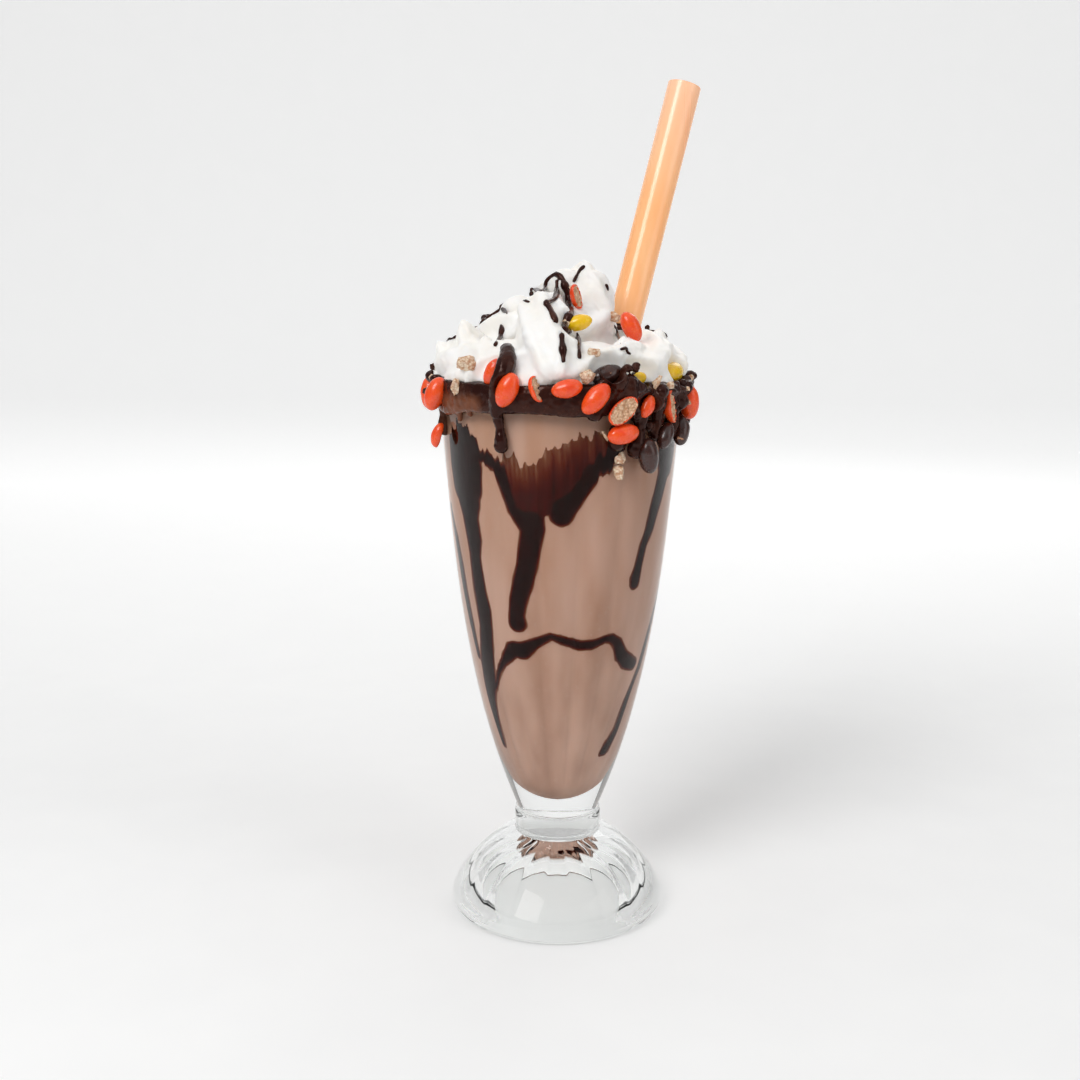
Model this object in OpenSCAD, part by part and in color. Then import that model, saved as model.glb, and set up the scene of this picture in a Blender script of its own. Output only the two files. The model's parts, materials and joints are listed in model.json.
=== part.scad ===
// Chocolate milkshake in a footed soda glass: the drink, whipped cream piled over
// the rim, a chocolate-dipped rim set with sugar-shelled sweets, and a wide straw.
// Millimetres, +Z up. The origin is the centre of the foot, on the table.

/* [Glass] */
// Height of the glass from the table to its rim
glass_h = 194; // [170:1:220]
// Outer radius of the rim
rim_r = 42.5; // [38:0.5:48]
// Wall thickness at the rim
wall_rim = 2.6; // [2:0.1:3.4]
// Wall thickness low in the bowl, where the glass is heavy
wall_low = 9.6; // [7:0.1:10.5]
// Radius of the neck, the narrowest part of the body
neck_r = 14.9; // [13:0.1:18]
// Height of the neck above the table
neck_z = 38.5; // [34:0.5:44]
// Glass between the neck and the floor of the bowl
floor_t = 6.5; // [4:0.5:10]
// How far the ring round the stem stands out from the neck
collar_out = 0.9; // [0.4:0.1:2]
// Height of the ring round the stem
collar_h = 7; // [5:0.5:8]
// Outer radius of the foot
foot_r = 39; // [34:0.5:44]
// Height of the upright edge of the foot
foot_edge = 6; // [4:0.5:8]
// Radius of the hollow under the foot
hollow_r = 28; // [22:0.5:32]
// Height of the hollow under the foot
hollow_h = 21; // [12:0.5:24]
// Number of upright flutes pressed into the glass
flutes = 16; // [10:1:20]
// Depth of the flutes inside the bowl
flute_depth = 0.9; // [0.3:0.1:1.4]

/* [Drink and cream] */
// How far the drink stops below the rim
headspace = 5; // [3:0.5:12]
// Height of the heap of cream above the rim
cream_h = 41; // [30:1:55]
// How far the cream hangs out past the rim
cream_over = 1.5; // [0:0.5:4]
// Thickness of the piped rope of cream
cream_rope = 21; // [16:1:24]
// Turns that the rope of cream makes
cream_turns = 3.4; // [3:0.1:4]
// How far the peak of the cream leans to the right
cream_lean = 6; // [0:1:10]

/* [Straw] */
// Outer diameter of the straw
straw_d = 12; // [8:0.5:13]
// Wall thickness of the straw
straw_wall = 0.6; // [0.4:0.1:1]
// Length of the straw
straw_len = 233; // [200:1:240]
// Height of the straw's lower end above the table
straw_end_z = 73.8; // [66:0.2:100]
// Free space between the straw and the wall of the bowl at the rim
straw_room = 8.9; // [4:0.1:12]
// Direction in which the straw leans at the rim, from the right towards the back
straw_to = 44; // [20:1:70]

/* [Rim chocolate] */
// Thickness of the chocolate on the outside of the rim
choc_out = 2.8; // [2:0.1:4]
// Thickness of the chocolate on top of the rim
choc_top = 3; // [2:0.1:4]
// How far the chocolate reaches down the outside
choc_drop = 6.5; // [5:0.5:12]

/* [Sweets] */
// Length of a sweet
sweet_d = 12; // [10:0.1:14]
// Thickness of a sweet
sweet_t = 6.9; // [6:0.1:9]

/* [Hidden] */
// Sweets set in the chocolate: kind, colour, angle round the rim from the front,
// height above the rim, chocolate left between it and the glass, turn about its long
// axis, tip of its top out from the wall, lean of its top to the right, and its size
// as a share of a full one. A half shows its cut face outwards when its turn is 0.
rim_sweets = [
    ["whole", "orange", -64, -2.3, 0.5, 0, -18, 10, 1],
    ["half", "orange", -68, -16.7, 0.5, 180, -14, 8, 0.75],
    ["whole", "orange", -31.5, 5.9, -3.8, 0, 0, 26, 0.85],
    ["whole", "orange", -21.5, 1, 0.5, 0, 0, 25, 1],
    ["half", "orange", -9.5, 1.6, 0.4, 70, 0, -18, 0.75],
    ["half", "orange", 2.5, 1.8, 0.2, 180, 0, 78, 0.85],
    ["whole", "orange", 14, -1.4, 0.5, 0, 0, 42, 1],
    ["half", "orange", 25, -5.4, 2, 0, 0, 52, 1],
    ["half", "orange", 26.5, -13, 0.6, 180, 0, 82, 0.95],
    ["whole", "brown", 21.5, 5.6, -5.2, 0, 0, 72, 0.9],
    ["half", "yellow", 38, 4, -4.6, 180, 0, 80, 0.65],
    ["whole", "brown", 40, -20.8, 0.6, 0, 0, -8, 1],
    ["half", "orange", 38.5, -4.6, 0.6, 180, 0, 30, 0.68],
    ["half", "orange", 53, -5.3, 0.8, 20, 0, -16, 0.95],
    ["whole", "brown", 51, -14.8, 0.6, 0, 0, 30, 0.8],
    ["whole", "yellow", 68, 4.8, -5.4, 0, 0, 82, 1],
    ["whole", "brown", 65, -14.2, 0.6, 0, 0, 8, 0.85],
    ["whole", "orange", 71.5, -5, 0.5, 0, 0, -8, 1],
    ["whole", "orange", 92, -6, 0.5, 0, 0, 25, 0.9],
    ["whole", "brown", 112, -5, 0.5, 0, 0, 0, 1],
    ["half", "orange", 128, 0, 0.6, 0, 0, 15, 1],
    ["whole", "yellow", 143, 5.6, -5, 0, 0, 80, 0.95],
    ["whole", "orange", 157, -4, 0.5, 0, 0, -35, 1],
    ["half", "orange", 172, -1, 0.5, 160, 0, 60, 0.9],
    ["whole", "orange", -173, -13, 0.5, 0, 0, 20, 1],
    ["whole", "brown", -158, -3, 0.5, 0, 0, 0, 0.9],
    ["half", "yellow", -143, 5.4, -4.8, 180, 0, 70, 0.8],
    ["whole", "orange", -128, -4, 0.5, 0, 0, -50, 1],
    ["half", "orange", -112, 1, 0.6, 0, 0, 40, 1],
    ["whole", "orange", -95, -4, 0.5, 0, 0, -12, 1]
];
// Sweets on the cream: kind, colour, place right and back as shares of the cream's
// radius, height as a share of the heap, turn, tip, lean and size as above
cream_sweets = [
    ["whole", "orange", 0.53, -0.40, 0.49, 0, 0, -28, 0.9],
    ["half", "yellow", 0.13, -0.66, 0.53, 160, 0, 76, 0.78],
    ["half", "orange", 0.12, -0.42, 0.73, 60, 0, -15, 0.7],
    ["whole", "orange", -0.42, 0.44, 0.56, 0, 20, 60, 1],
    ["half", "yellow", 0.2, 0.55, 0.6, 160, 0, 70, 0.9]
];
// Blobs of cream with a drawn-up tip: angle round the rim from the front, distance
// of the blob and of its tip from the axis as shares of the cream's radius, radius
// of the blob, height of the tip above the rim
dollops = [[-84, 0.82, 0.97, 8, 14], [-62, 0.7, 0.86, 9, 22], [-45, 0.8, 0.8, 8.5, 17],
    [-22, 0.78, 0.8, 9.5, 13], [0, 0.84, 0.86, 9.5, 11], [22, 0.78, 0.76, 9, 12], [40, 0.76, 0.72, 9, 17], [68, 0.82, 0.9, 8, 12], [100, 0.76, 0.8, 9, 18], [135, 0.78, 0.7, 9, 20],
    [172, 0.8, 0.84, 8.5, 17], [-150, 0.76, 0.7, 9, 21], [-115, 0.8, 0.9, 8.5, 16]];
// Drips of chocolate: angle round the rim from the front, radius, length
drips = [[-28, 2.4, 20], [-70, 2.2, 17], [-62, 2, 9], [26, 3, 19], [37, 3.2, 22], [48, 3, 17], [63, 3, 16],
    [80, 2.6, 12], [106, 2.4, 12], [128, 2.6, 17], [152, 2.2, 11], [-177, 2.8, 18], [-154, 2.4, 13],
    [-128, 2.6, 16], [-104, 2.2, 10]];

choc_inset = wall_rim + 1;      // how far in from the rim the chocolate reaches
lip = wall_rim * 0.42;          // rounding of the rim
bowl_floor = neck_z + floor_t;
drink_z = glass_h - headspace;
choc_crown = glass_h + choc_top;
collar_groove = 0.4;            // the narrow line under the ring
steps_per_flute = 3;
sides = flutes * steps_per_flute;
bowl_rings = 10;
FINE = 96;                      // sides of a round outline
MID = 48;                       // of a round cutter
ROUGH = 10;                     // of a soft round shape
DRIP = 8;                       // of a drip
POCKET = 12;                    // of the pocket that a sweet sits in

function smooth(t) = let(u = max(0, min(1, t))) u * u * (3 - 2 * u);
function sweet_name(list, i, place) = str(list[i][1], "_", list[i][0], "_", place, "_", i + 1);
rim_names = [for (i = [0:len(rim_sweets) - 1]) sweet_name(rim_sweets, i, "rim")];
cream_names = [for (i = [0:len(cream_sweets) - 1]) sweet_name(cream_sweets, i, "cream")];

// ---- the outline of the glass

flare_straight = 0.42;          // share of the body's flare that is a plain cone
flare_power = 3.3;              // how early the rest of the flare happens
dome_power = 1.6;               // roundness of the foot's dome

function flare(t) = flare_straight * t + (1 - flare_straight) * (1 - pow(1 - t, flare_power));
function outer_r(z) = neck_r + (rim_r - neck_r) * flare(min(1, (z - neck_z) / (glass_h - neck_z)));

collar_r = neck_r + collar_out;
collar_z = neck_z - collar_h / 2 - 0.5;
dome_top = collar_z - collar_h / 2 - 1.5;
bead = foot_edge * 0.6;         // rounding of the foot's lower edge

edge_points = [for (a = [-90:15:0]) [foot_r - bead + bead * cos(a), bead + bead * sin(a)]];
dome_points = [for (a = [0:9:90])
    [collar_r + (foot_r - collar_r) * pow(cos(a), dome_power),
     foot_edge + (dome_top - foot_edge) * pow(sin(a), dome_power)]];
collar_points = [for (a = [-90:18:90])
    [collar_r - collar_groove + collar_groove * cos(a), collar_z + collar_h / 2 * sin(a)]];
body_rings = 18;
body_points = [for (i = [0:body_rings]) let(z = neck_z + (glass_h - lip - neck_z) * i / body_rings) [outer_r(z), z]];
lip_points = [for (a = [30:30:90])
    [outer_r(glass_h - lip) - lip + lip * cos(a), glass_h - lip + lip * sin(a)]];

// The glass with nothing hollowed out of it
module glass_blank(fn) {
    rotate_extrude($fn = fn)
        polygon(concat([[0, 0]], edge_points, dome_points, collar_points, body_points, lip_points,
            [[0, glass_h]]));
}

// ---- the fluted inside of the bowl, shared by the glass, the drink and the cream

function bowl_wall(z) = let(t = (z - bowl_floor) / (glass_h - bowl_floor))
    wall_rim + (wall_low - wall_rim) * pow(cos(90 * t), 2);
function bowl_round(z) = let(u = min(1, (z - bowl_floor) / floor_t)) sqrt(1 - (1 - u) * (1 - u));
function bowl_r(z) = (outer_r(z) - bowl_wall(z)) * bowl_round(z);

// A flute swells towards its middle, and fades out at the rim and at the floor
function flute(a) = abs(cos(a * flutes / 2));
function flute_fade(z) = smooth((glass_h - 8 - z) / 22) * smooth((z - bowl_floor) / 25);
function bowl_at(a, z) = bowl_r(z) + flute_depth * flute(a) * flute_fade(z);

function ring(z, grow = 0) = [for (i = [0:sides - 1]) let(a = 360 * i / sides, r = bowl_at(a, z) + grow)
    [r * cos(a), r * sin(a), z]];
// Heights of the rings, closer together at the rounded floor
drink_heights = [for (i = [1:bowl_rings]) bowl_floor + (drink_z - bowl_floor) * pow(i / bowl_rings, 1.7)];

// A closed solid through rings of points, each end closed at a centre point
module loft(rings, low, high) {
    n = len(rings[0]);
    m = len(rings);
    points = concat([low], [for (r = rings) each r], [high]);
    last = len(points) - 1;
    polyhedron(points, concat(
        [for (j = [0:n - 1]) [0, 1 + j, 1 + (j + 1) % n]],
        [for (i = [0:m - 2], j = [0:n - 1]) each
            let(a = 1 + i * n + j, b = 1 + i * n + (j + 1) % n) [[a, a + n, b], [b, a + n, b + n]]],
        [for (j = [0:n - 1]) let(a = last - n) [last, a + (j + 1) % n, a + j]]));
}

module bowl_hollow() {
    clear = 1;                  // how far the cutter stands above the rim
    loft(concat(
            [for (z = drink_heights) ring(z)],
            [ring(glass_h - lip), ring(glass_h - lip * 0.3, lip * 0.35), ring(glass_h, lip), ring(glass_h + clear, lip)]),
        [0, 0, bowl_floor], [0, 0, glass_h + clear]);
}

// The fluted dome under the foot
hollow_rings = 5;
module foot_hollow() {
    start = -1;                 // the cutter starts below the table
    function under(a, s) = hollow_r * pow(cos(90 * s), 0.7) + flute_depth * flute(a) * sin(180 * s);
    loft(concat(
            [[for (i = [0:sides - 1]) let(a = 360 * i / sides) [hollow_r * cos(a), hollow_r * sin(a), start]]],
            [for (k = [0:hollow_rings - 1]) let(s = k / hollow_rings)
                [for (i = [0:sides - 1]) let(a = 360 * i / sides, r = under(a, s))
                    [r * cos(a), r * sin(a), hollow_h * sin(90 * s)]]]),
        [0, 0, start], [0, 0, hollow_h]);
}

module glass() {
    color([0.86, 0.92, 0.9, 0.35])
        difference() {
            glass_blank(FINE);
            bowl_hollow();
            foot_hollow();
        }
}

// ---- the straw, which rests low on the left of the bowl and leans right and back

straw_gap = 0.3;
straw_seam = 100;               // where the seam of the rolled straw lies
function towards(a, r, z) = [r * cos(a), r * sin(a), z];
straw_cross = towards(straw_to, rim_r - wall_rim - straw_room - straw_d / 2, glass_h);
straw_rest_r = bowl_r(straw_end_z + straw_d / 8) - straw_d / 2 - straw_gap;
straw_foot = towards(straw_to + 146, straw_rest_r, straw_end_z);
straw_way = straw_cross - straw_foot;

module along_straw() {
    translate(straw_foot)
        rotate([0, acos(straw_way.z / norm(straw_way)), atan2(straw_way.y, straw_way.x)])
            rotate([0, 0, straw_seam]) children();
}
module straw_rod(fn) {
    along_straw() cylinder(d = straw_d, h = straw_len, $fn = fn);
}
module straw() {
    over = 1;
    color("sandybrown")
        difference() {
            straw_rod(FINE);
            along_straw() translate([0, 0, -over])
                cylinder(d = straw_d - 2 * straw_wall, h = straw_len + 2 * over, $fn = FINE);
        }
}

// ---- the drink, which also stands in the straw

module milkshake() {
    color([0.66, 0.49, 0.4])
        difference() {
            loft([for (z = drink_heights) ring(z), ring(glass_h - lip)], [0, 0, bowl_floor], [0, 0, glass_h - lip]);
            translate([0, 0, drink_z]) cylinder(r = rim_r, h = headspace, $fn = FINE);
            straw();
        }
}

// ---- the sweets

module sweet_shape(kind, size, fn) {
    long = sweet_d / 2 * size;
    round = sweet_t / 2 * size;
    steps = max(4, fn / 8);     // flats from one end of a sweet to the other
    // A pocket has few sides, so it is drawn round the sweet and not inside it
    fit = fn > POCKET ? 1 : 1 / cos(180 / fn) / cos(90 / steps);
    intersection() {
        rotate_extrude($fn = fn)
            polygon([for (i = [0:steps]) let(a = -90 + 180 * i / steps)
                [max(0, round * cos(a)), long * sin(a)] * fit]);
        if (kind == "half")
            translate([-sweet_d, -round / 5, -sweet_d])
                cube(sweet_d * 2);
    }
}
module sweet_colour(name) {
    color(name == "orange" ? [0.93, 0.25, 0.08] : name == "yellow" ? [0.93, 0.76, 0.1] : [0.14, 0.07, 0.06])
        children();
}
module set_sweet(s, place, fn) {
    sweet_colour(s[1])
        translate(place) rotate([s[6], s[7], 0]) rotate([0, 0, s[5]])
            sweet_shape(s[0], s[8], fn);
}
// How far a sweet's centre stands from a wall that it touches, by the tip of its top
function seat(tip, size) = norm([sweet_t / 2 * cos(tip), sweet_d / 2 * sin(tip)]) * size;
module rim_sweet(i, fn = FINE) {
    s = rim_sweets[i];
    z = glass_h + s[3];
    rotate([0, 0, s[2]])
        set_sweet(s, [0, -(outer_r(z) + seat(s[6], s[8]) + s[4]), z], fn);
}
module cream_sweet(i, fn = FINE) {
    s = cream_sweets[i];
    set_sweet(s, [s[2] * cream_edge, s[3] * cream_edge, glass_h + s[4] * cream_h], fn);
}
module all_rim_sweets() {
    for (i = [0:len(rim_sweets) - 1]) rim_sweet(i, POCKET);
}
module all_cream_sweets() {
    for (i = [0:len(cream_sweets) - 1]) cream_sweet(i, POCKET);
}

// ---- the chocolate round the rim, with its drips

// The band before the glass and the sweets are taken out of it
module rim_band() {
    wavy = 1.2;
    rotate_extrude($fn = MID)
        polygon([
            [rim_r - choc_inset, glass_h - lip],
            [rim_r - choc_inset, glass_h + choc_top * 0.5],
            [rim_r - wall_rim / 2, choc_crown],
            [rim_r + choc_out * 0.7, glass_h + choc_top * 0.45],
            [rim_r + choc_out, glass_h - choc_drop * 0.4],
            [rim_r + choc_out * 0.6, glass_h - choc_drop],
            [rim_r - wall_rim / 2, glass_h - choc_drop - wavy]]);
}
module drip(a, r, length) {
    flat = 0.75;                // how far its centre stands in the surface of the glass
    function at(z) = -(outer_r(z) + r * (1 - flat));
    rotate([0, 0, a])
        hull() {
            translate([0, at(glass_h), glass_h - choc_drop / 2]) sphere(r * 1.2, $fn = DRIP);
            translate([0, at(glass_h - length), glass_h - length]) sphere(r, $fn = DRIP);
        }
}
module rim_chocolate() {
    wrap = 1 / cos(180 / MID);  // keeps the cutter's flats outside the round glass
    color([0.13, 0.06, 0.04])
        difference() {
            union() {
                rim_band();
                for (d = drips) drip(d[0], d[1], d[2]);
            }
            scale([wrap, wrap, 1]) glass_blank(MID);
            all_rim_sweets();
        }
}

// ---- the cream, piped in a rising spiral, with blobs round its foot

rope_r = cream_rope / 2;
cream_edge = rim_r + cream_over;
spiral_in = 1;
links_a_turn = 8;
links = round(cream_turns * links_a_turn);
peak_r = 3;
peak_z = glass_h + cream_h;
// Centre of the rope and its radius, from its start (0) to its peak (1)
function rope_size(s) = rope_r + (peak_r - rope_r) * pow(climb(s), 2.2);
// The first turn lies level on the rim, and the rest climbs and closes in.
rope_z = choc_crown + rope_r * 0.15;
function climb(s) = max(0, (s * cream_turns - 1) / (cream_turns - 1));
function rope_place(s) = let(u = climb(s), r = (cream_edge - rope_r) * (1 - u) + spiral_in * u)
    towards(360 * cream_turns * s - 60, r, rope_z + (peak_z - peak_r - rope_z) * u) + [cream_lean * u, 0, 0];

module rope_link(i) {
    hull()
        for (s = [i / links, (i + 1) / links])
            translate(rope_place(s)) sphere(rope_size(s), $fn = ROUGH);
}
module dollop(d) {
    tip_r = 1.2;
    rotate([0, 0, d[0]])
        hull() {
            translate([0, -d[1] * cream_edge, choc_crown + d[3] * 0.3]) sphere(d[3], $fn = ROUGH);
            translate([0, -d[2] * cream_edge, glass_h + d[4] - tip_r]) sphere(tip_r, $fn = 6);
        }
}
// What fills the mouth of the glass between the drink and the heap
module cream_plug() {
    rings = [ring(drink_z), ring(glass_h - lip),
        for (z = [glass_h - lip, choc_crown]) [for (i = [0:sides - 1]) towards(360 * i / sides, rim_r - choc_inset, z)]];
    loft(rings, [0, 0, drink_z], [0, 0, choc_crown]);
}
module whipped_cream() {
    color([0.98, 0.97, 0.94])
        difference() {
            union() {
                cream_plug();
                difference() {
                    union() {
                        translate([0, 0, drink_z])
                            cylinder(r1 = cream_edge - rope_r, r2 = spiral_in, h = peak_z - rope_r - drink_z, $fn = ROUGH);
                        for (i = [0:links - 1]) rope_link(i);
                        for (d = dollops) dollop(d);
                    }
                    cylinder(r = cream_edge * 2, h = choc_crown, $fn = ROUGH);
                }
            }
            straw_rod(MID);
            all_rim_sweets();
            all_cream_sweets();
        }
}

glass();
milkshake();
whipped_cream();
rim_chocolate();
straw();
for (i = [0:len(rim_names) - 1]) rim_sweet(i);
for (i = [0:len(cream_names) - 1]) cream_sweet(i);
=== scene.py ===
"""A chocolate milkshake in a tall footed glass, with piped cream, a chocolate-dipped rim
set with sugar-shelled sweets, and a wide straw, modelled round its solid model.

The frame is in metres, +Z up. Outlines in this file are in millimetres and go through MM.
"""
import json
import math
import random

import bmesh
import bpy
import numpy as np
from mathutils import Matrix, Vector, noise
from mathutils.bvhtree import BVHTree

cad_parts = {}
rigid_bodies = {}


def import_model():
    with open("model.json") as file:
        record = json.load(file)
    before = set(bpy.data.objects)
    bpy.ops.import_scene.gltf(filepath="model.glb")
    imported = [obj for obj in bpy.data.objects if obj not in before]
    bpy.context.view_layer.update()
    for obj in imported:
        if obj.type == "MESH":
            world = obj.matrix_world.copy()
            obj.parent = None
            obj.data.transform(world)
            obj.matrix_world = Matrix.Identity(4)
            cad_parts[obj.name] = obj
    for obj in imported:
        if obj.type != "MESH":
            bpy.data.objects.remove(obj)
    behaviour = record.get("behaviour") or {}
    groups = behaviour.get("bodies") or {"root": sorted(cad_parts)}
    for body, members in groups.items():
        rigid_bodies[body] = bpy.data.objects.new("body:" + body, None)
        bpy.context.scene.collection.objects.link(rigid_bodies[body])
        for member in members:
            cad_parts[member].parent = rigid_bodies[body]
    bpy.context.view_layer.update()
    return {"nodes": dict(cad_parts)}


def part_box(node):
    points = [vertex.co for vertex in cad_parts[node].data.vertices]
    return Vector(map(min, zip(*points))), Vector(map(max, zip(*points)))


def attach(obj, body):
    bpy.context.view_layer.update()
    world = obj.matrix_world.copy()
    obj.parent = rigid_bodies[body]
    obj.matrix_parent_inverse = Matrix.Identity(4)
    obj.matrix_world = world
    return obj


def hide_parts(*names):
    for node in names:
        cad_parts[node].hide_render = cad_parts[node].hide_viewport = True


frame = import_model()

bl_info = {
    "name": "Chocolate milkshake",
    "version": (1, 0, 0),
    "blender": (4, 5, 0),
    "location": "View3D > Sidebar > Milkshake",
    "description": "Builds a milkshake glass, its drink, cream, chocolate, sweets and straw",
    "category": "Add Mesh",
}

MM = 0.001
BODY = "root"


def tint(red, green, blue):
    """A screen colour, 0 to 255, as the linear colour that shaders use."""
    return tuple((c / 255 / 12.92) if c <= 10 else ((c / 255 + 0.055) / 1.055) ** 2.4
                 for c in (red, green, blue))


# ---- outlines of the glass, in millimetres

GLASS_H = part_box("glass")[1].z / MM
RIM_R, NECK_R, NECK_Z, FLOOR_T = 42.5, 14.9, 38.5, 6.5
WALL_RIM, WALL_LOW = 2.6, 9.6
COLLAR_R, COLLAR_Z, COLLAR_H, COLLAR_GROOVE = 15.8, 34.5, 7.0, 0.4
FOOT_R = 39.0
FOOT_EDGE, BEAD, DOME_TOP, DOME_POWER = 6.0, 3.6, 29.5, 1.6
HOLLOW_R, HOLLOW_H = 28.0, 21.0
FLUTES, FLUTE_DEPTH = 16, 0.9
BOWL_FLOOR = NECK_Z + FLOOR_T
LIP = WALL_RIM * 0.42
HEADSPACE = 5.0
DRINK_Z = GLASS_H - HEADSPACE


def smooth(t):
    u = np.clip(t, 0, 1)
    return u * u * (3 - 2 * u)


def outer_r(z):
    """Outer radius of the body at a height."""
    t = np.clip((z - NECK_Z) / (GLASS_H - NECK_Z), 0, 1)
    return NECK_R + (RIM_R - NECK_R) * (0.42 * t + 0.58 * (1 - (1 - t) ** 3.3))


def bowl_r(z):
    """Inner radius of the bowl at a height, without its flutes."""
    t = np.clip((z - BOWL_FLOOR) / (GLASS_H - BOWL_FLOOR), 0, 1)
    wall = WALL_RIM + (WALL_LOW - WALL_RIM) * np.cos(np.pi / 2 * t) ** 2
    u = np.clip((z - BOWL_FLOOR) / FLOOR_T, 0, 1)
    return (outer_r(z) - wall) * np.sqrt(np.clip(1 - (1 - u) ** 2, 0, 1))


def flute(angle, z):
    """How far the flutes widen the bowl at an angle and a height."""
    fade = smooth((GLASS_H - 8 - z) / 22) * smooth((z - BOWL_FLOOR) / 25)
    return FLUTE_DEPTH * np.abs(np.cos(angle * FLUTES / 2)) * fade


# ---- modelling helpers

def clear():
    if bpy.context.object and bpy.context.object.mode != "OBJECT":
        bpy.ops.object.mode_set(mode="OBJECT")
    bpy.ops.object.select_all(action="DESELECT")


def named(name):
    """Names the active object and its mesh."""
    piece = bpy.context.object
    piece.name = piece.data.name = name
    return piece


def pick(*pieces):
    clear()
    for piece in pieces:
        piece.select_set(True)
    bpy.context.view_layer.objects.active = pieces[0]
    return pieces[0]


def join(name, pieces):
    pick(*pieces)
    if len(pieces) > 1:
        bpy.ops.object.join()
    return named(name)


def modify(piece, kind, **settings):
    """Adds a modifier and applies it."""
    pick(piece)
    modifier = piece.modifiers.new(kind.title(), kind)
    for key, value in settings.items():
        setattr(modifier, key, value)
    bpy.ops.object.modifier_apply(modifier=modifier.name)


def points(piece):
    flat = np.empty(len(piece.data.vertices) * 3, np.float32)
    piece.data.vertices.foreach_get("co", flat)
    return flat.reshape(-1, 3).astype(float) / MM


def normals(piece):
    flat = np.empty(len(piece.data.vertices) * 3, np.float32)
    piece.data.vertices.foreach_get("normal", flat)
    return flat.reshape(-1, 3).astype(float)


def set_points(piece, where):
    piece.data.vertices.foreach_set("co", (where * MM).astype(np.float32).ravel())
    piece.data.update()


def rough(where, size, seed=0.0, octaves=2):
    """Smooth noise, about -1 to 1, at points in millimetres."""
    shift = Vector((seed * 7.31, seed * 3.17, seed * 5.77))
    return np.array([noise.fractal(Vector(p) / size + shift, 0.6, 2.1, octaves) for p in where])


def turned(name, outline, steps):
    """A solid of revolution: one point is drawn out along the outline and spun round Z."""
    clear()
    bpy.ops.mesh.primitive_plane_add(size=MM)
    piece = named(name)
    bpy.ops.object.mode_set(mode="EDIT")
    bpy.ops.mesh.select_all(action="SELECT")
    bpy.ops.mesh.merge(type="CENTER")
    here = (0.0, 0.0)
    for k, there in enumerate(outline):
        way = ((there[0] - here[0]) * MM, 0, (there[1] - here[1]) * MM)
        if k == 0:
            bpy.ops.transform.translate(value=way)
        else:
            bpy.ops.mesh.extrude_vertices_move(TRANSFORM_OT_translate={"value": way})
        here = there
    bpy.ops.mesh.select_all(action="SELECT")
    bpy.ops.mesh.spin(steps=steps, angle=2 * math.pi, center=(0, 0, 0), axis=(0, 0, 1))
    bpy.ops.mesh.select_all(action="SELECT")
    bpy.ops.mesh.remove_doubles(threshold=0.002 * MM)
    bpy.ops.mesh.normals_make_consistent(inside=False)
    bpy.ops.object.mode_set(mode="OBJECT")
    return piece


def blob(name, centre, radii, segments=32, rings=20, turn=None):
    """A round lump of the given half sizes, with its place in its mesh."""
    clear()
    bpy.ops.mesh.primitive_uv_sphere_add(segments=segments, ring_count=rings, radius=MM)
    piece = named(name)
    where = points(piece) * np.array(radii)
    if turn is not None:
        where = where @ np.array(turn.to_matrix()).T
    set_points(piece, where + np.array(centre))
    return piece


def tube(name, path, radii, sides=3, caps=True):
    """A round strand along a path of points, thicker and thinner as its radii say."""
    clear()
    line = bpy.data.curves.new(name, "CURVE")
    line.dimensions = "3D"
    line.bevel_depth = MM
    line.bevel_resolution = sides
    line.use_fill_caps = caps
    spline = line.splines.new("POLY")
    spline.points.add(len(path) - 1)
    for point, place, radius in zip(spline.points, path, radii):
        point.co = (*(Vector(place) * MM), 1)
        point.radius = radius
    strand = bpy.data.objects.new(name, line)
    bpy.context.collection.objects.link(strand)
    pick(strand)
    bpy.ops.object.convert(target="MESH")
    bpy.ops.object.mode_set(mode="EDIT")
    bpy.ops.mesh.select_all(action="SELECT")
    bpy.ops.mesh.remove_doubles(threshold=0.005 * MM)
    bpy.ops.mesh.normals_make_consistent(inside=False)
    bpy.ops.object.mode_set(mode="OBJECT")
    return named(name)


def eased(places, step=0.8):
    """A smooth line through a few places, in points about a step apart."""
    p = [np.array(q, float) for q in places]
    p = [2 * p[0] - p[1]] + p + [2 * p[-1] - p[-2]]
    line = []
    for a, b, c, d in zip(p, p[1:], p[2:], p[3:]):
        count = max(2, int(np.linalg.norm(c - b) / step))
        for t in np.arange(count) / count:
            line.append(0.5 * (2 * b + (c - a) * t + (2 * a - 5 * b + 4 * c - d) * t ** 2
                               + (3 * b - a - 3 * c + d) * t ** 3))
    return line + [p[-2]]


def remeshed(piece, voxel, soften=2, factor=0.5):
    """One clean skin round overlapping lumps."""
    modify(piece, "REMESH", mode="VOXEL", voxel_size=voxel * MM, adaptivity=0)
    if soften:
        modify(piece, "SMOOTH", factor=factor, iterations=soften)
    return piece


def tree_of(*pieces):
    """A search tree over the skins of finished pieces."""
    corners, faces = [], []
    for piece in pieces:
        start = len(corners)
        corners += [v.co.copy() for v in piece.data.vertices]
        faces += [[start + i for i in p.vertices] for p in piece.data.polygons]
    return BVHTree.FromPolygons(corners, faces)


def touch_front(tree, x, z):
    """Where a line straight back from the front meets a skin, and the skin's normal."""
    place, normal = tree.ray_cast(Vector((x, -90, z)) * MM, Vector((0, 1, 0)))[:2]
    return (None, None) if place is None else (place / MM, normal)


def touch_round(tree, angle, z, reach=90):
    """Where a level line towards the axis meets a skin; the angle is from the front."""
    a = math.radians(angle)
    out = Vector((math.sin(a), -math.cos(a), 0))
    place, normal = tree.ray_cast((out * reach + Vector((0, 0, z))) * MM, -out)[:2]
    return (None, None) if place is None else (place / MM, normal)


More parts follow.
